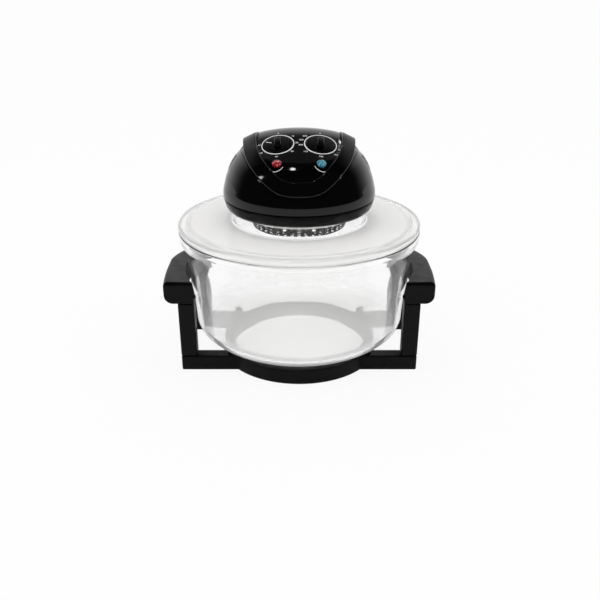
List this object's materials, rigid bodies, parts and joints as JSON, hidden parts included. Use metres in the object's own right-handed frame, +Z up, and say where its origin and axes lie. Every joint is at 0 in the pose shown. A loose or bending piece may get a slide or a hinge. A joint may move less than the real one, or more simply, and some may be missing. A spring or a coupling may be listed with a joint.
{
  "type": "halogen oven",
  "caption": "Table-top halogen oven: a clear glass bowl in a black stand with side grips, and a glass lid carrying a domed motor and heater head with dials and a folding handle.",
  "frame": {"origin": "on the table under the middle of the bowl", "axes": "+Z up, the dials and the folded handle face -Y, the two side grips lie along X"},
  "size_m": [0.382, 0.34, 0.3296],
  "materials": {
    "satin_black": "satin moulded heat-resistant plastic",
    "gloss_black": "high gloss moulded plastic",
    "bowl_glass": "clear tempered glass",
    "lid_glass": "clear, slightly milky tempered glass",
    "quartz": "clear quartz tube",
    "grey_silicone": "matt silicone",
    "bright_steel": "bright stainless sheet",
    "zinc_steel": "zinc plated steel",
    "iron": "stamped laminations",
    "copper": "copper wire and tube",
    "aluminium": "plain sheet",
    "ceramic": "matt white ceramic",
    "white_plastic": "smooth white plastic",
    "brown_resin": "moulded phenolic resin",
    "red_lens": "clear red faceted lens",
    "teal_lens": "clear green-blue faceted lens",
    "tungsten": "coiled tungsten wire"
  },
  "bodies": {
    "stand": {"base_frame": "satin_black", "upright_front_left": "satin_black", "upright_front_right": "satin_black", "upright_rear_left": "satin_black", "upright_rear_right": "satin_black", "grip_left": "satin_black", "grip_right": "satin_black", "stand_screw_front_left": "zinc_steel", "stand_screw_front_right": "zinc_steel", "stand_screw_rear_left": "zinc_steel", "stand_screw_rear_right": "zinc_steel"},
    "bowl": {"glass_bowl": "bowl_glass"},
    "lid": {"lid_glass": "lid_glass", "lid_gasket": "grey_silicone", "lower_housing": "gloss_black", "dome_housing": "gloss_black", "control_cap": "gloss_black", "housing_screw_1": "zinc_steel", "housing_screw_2": "zinc_steel", "housing_screw_3": "zinc_steel", "pivot_pin_left": "bright_steel", "pivot_pin_right": "bright_steel", "timer_dial_ring": "white_plastic", "thermostat_dial_ring": "white_plastic", "timer_body": "zinc_steel", "thermostat_body": "brown_resin", "power_lamp_lens": "red_lens", "heat_lamp_lens": "teal_lens", "safety_switch": "brown_resin", "power_inlet": "satin_black", "terminal_block": "ceramic", "thermal_cutout": "aluminium", "reflector": "bright_steel", "heater_stud_left": "zinc_steel", "heater_stud_right": "zinc_steel", "heat_shield": "aluminium", "heater_guard": "bright_steel", "halogen_tube": "quartz", "halogen_filament": "tungsten", "heater_end_cap_left": "ceramic", "heater_end_cap_right": "ceramic", "tube_clip": "bright_steel", "thermostat_sensor": "copper", "motor_lower_bracket": "zinc_steel", "motor_upper_bracket": "zinc_steel", "motor_stator": "iron", "motor_coil": "copper", "motor_screw_left": "zinc_steel", "motor_screw_right": "zinc_steel"},
    "fan_rotor": {"motor_rotor": "iron", "cooling_fan": "aluminium", "convection_fan": "bright_steel", "fan_nut": "zinc_steel"},
    "handle": {"carry_handle": "gloss_black"},
    "timer_dial": {"timer_knob": "gloss_black", "timer_spindle": "bright_steel"},
    "thermostat_dial": {"thermostat_knob": "gloss_black", "thermostat_spindle": "bright_steel"},
    "plunger": {"switch_plunger": "white_plastic"}
  },
  "joints": [
    {"name": "bowl_lift", "type": "slide", "parent": "stand", "child": "bowl", "axis": [0, 0, 1], "range_m": [0, 0.2]},
    {"name": "lid_lift", "type": "slide", "parent": "bowl", "child": "lid", "axis": [0, 0, 1], "range_m": [0, 0.2]},
    {"name": "fan_spin", "type": "hinge", "parent": "lid", "child": "fan_rotor", "pos_m": [0, 0, 0.25], "axis": [0, 0, 1], "continuous": true},
    {"name": "handle_fold", "type": "hinge", "parent": "lid", "child": "handle", "pos_m": [0, 0, 0.3145], "axis": [-1, 0, 0], "range_deg": [0, 90]},
    {"name": "timer_turn", "type": "hinge", "parent": "lid", "child": "timer_dial", "pos_m": [-0.028, -0.034, 0.31661], "axis": [0.1034, 0.3694, -0.9235], "range_deg": [0, 300]},
    {"name": "thermostat_turn", "type": "hinge", "parent": "lid", "child": "thermostat_dial", "pos_m": [0.028, -0.034, 0.31661], "axis": [-0.1034, 0.3694, -0.9235], "range_deg": [0, 270]},
    {"name": "plunger_slide", "type": "slide", "parent": "lid", "child": "plunger", "axis": [0, 0, 1], "range_m": [0, 0.003]}
  ],
  "couplings": [
    {"joint": "plunger_slide", "follows": "handle_fold", "m_per_rad": 0.0019099}
  ]
}
